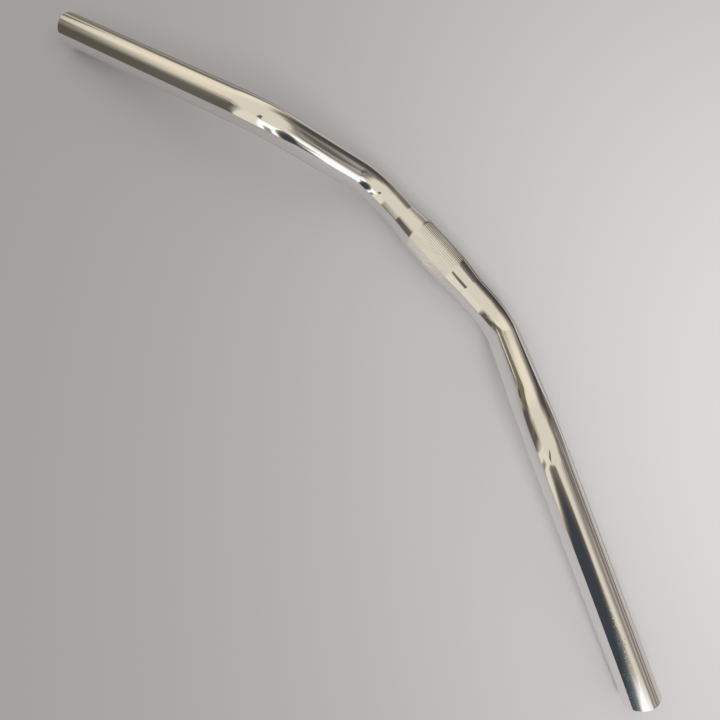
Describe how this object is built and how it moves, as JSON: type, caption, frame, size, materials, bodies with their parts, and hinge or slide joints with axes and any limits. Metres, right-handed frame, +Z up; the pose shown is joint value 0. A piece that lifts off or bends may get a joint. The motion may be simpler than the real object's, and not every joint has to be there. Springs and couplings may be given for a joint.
{
  "type": "bicycle handlebar",
  "caption": "Polished aluminium riser handlebar: one bent tube with swept-back open grip ends and a swelled clamp zone with a straight knurl in the middle.",
  "frame": {"origin": "middle of the bar's box, on the surface the bar lies on", "axes": "+X across the bar from grip end to grip end, +Y the way the grips sweep back, +Z up from the surface"},
  "size_m": [0.5914, 0.1234, 0.0603],
  "materials": {
    "polished_aluminium": "mirror polished"
  },
  "bodies": {
    "root": {"handlebar_tube": "polished_aluminium"}
  },
  "joints": []
}
